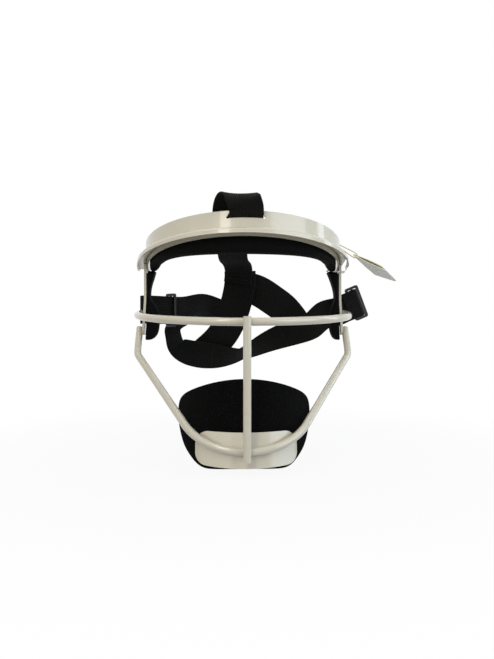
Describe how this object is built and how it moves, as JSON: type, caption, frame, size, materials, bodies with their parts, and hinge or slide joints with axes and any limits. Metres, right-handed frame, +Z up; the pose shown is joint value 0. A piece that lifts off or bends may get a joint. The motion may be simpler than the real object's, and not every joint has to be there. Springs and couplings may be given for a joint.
{
  "type": "softball face guard",
  "caption": "Open-faced fielding guard: pressed brow band, cheek and jaw wires, chin cup, stick-on pads and an adjustable webbing harness, with a swing tag.",
  "frame": {"origin": "midway between the two temple strips, level with the middle of their strap slots, 17.5 mm in front of the slots' line: the middle of the space that the wearer's head fills", "axes": "+X to the right seen from the front, the face looks along -Y, +Z up as worn"},
  "size_m": [0.2328, 0.1874, 0.2078],
  "materials": {
    "ivory_enamel": "glossy baked enamel",
    "black_foam": "closed-cell foam with a soft skin",
    "loop_fabric": "brushed loop cloth",
    "hook_tape": "woven hook tape",
    "black_webbing": "woven elastic webbing",
    "black_plastic": "moulded plastic with a faint shine",
    "tag_card": "coated card, bare of print",
    "white_string": "twisted string"
  },
  "bodies": {
    "guard": {"brow_band": "ivory_enamel", "inner_hoop": "ivory_enamel", "right_side_strip": "ivory_enamel", "left_side_strip": "ivory_enamel", "cheek_wire": "ivory_enamel", "jaw_wire": "ivory_enamel", "centre_bar": "ivory_enamel", "chin_plate": "ivory_enamel", "chin_hook_patch": "hook_tape", "chin_pad_skin": "loop_fabric", "chin_pad_foam": "black_foam", "brow_pad": "black_foam", "brow_hook_strip": "hook_tape", "right_hook_patch": "hook_tape", "left_hook_patch": "hook_tape", "right_side_pad": "black_foam", "left_side_pad": "black_foam", "top_strap": "black_webbing", "left_arm_strap": "black_webbing", "right_arm_strap": "black_webbing", "nape_strap": "black_webbing", "left_adjuster_strap": "black_webbing", "right_strap_end": "black_webbing", "tag_loop": "white_string"},
    "left_slider": {"left_slider": "black_plastic"},
    "right_slider": {"right_slider": "black_plastic"},
    "tag": {"hang_tag_front": "tag_card", "hang_tag_back": "tag_card", "tag_strands": "white_string"}
  },
  "joints": [
    {"name": "left_slider_slide", "type": "slide", "parent": "guard", "child": "left_slider", "axis": [0.7385, 0.6743, 0], "range_m": [-0.005, 0.005]},
    {"name": "right_slider_swing", "type": "hinge", "parent": "guard", "child": "right_slider", "pos_m": [0.10477, 0.02506, 0.0067], "axis": [-0.3666, -0.0846, 0.9265], "range_deg": [-35, 0]},
    {"name": "tag_swing", "type": "hinge", "parent": "guard", "child": "tag", "pos_m": [0.0855, 0.007, 0.0565], "axis": [0, 1, 0], "range_deg": [-80, 20]}
  ]
}
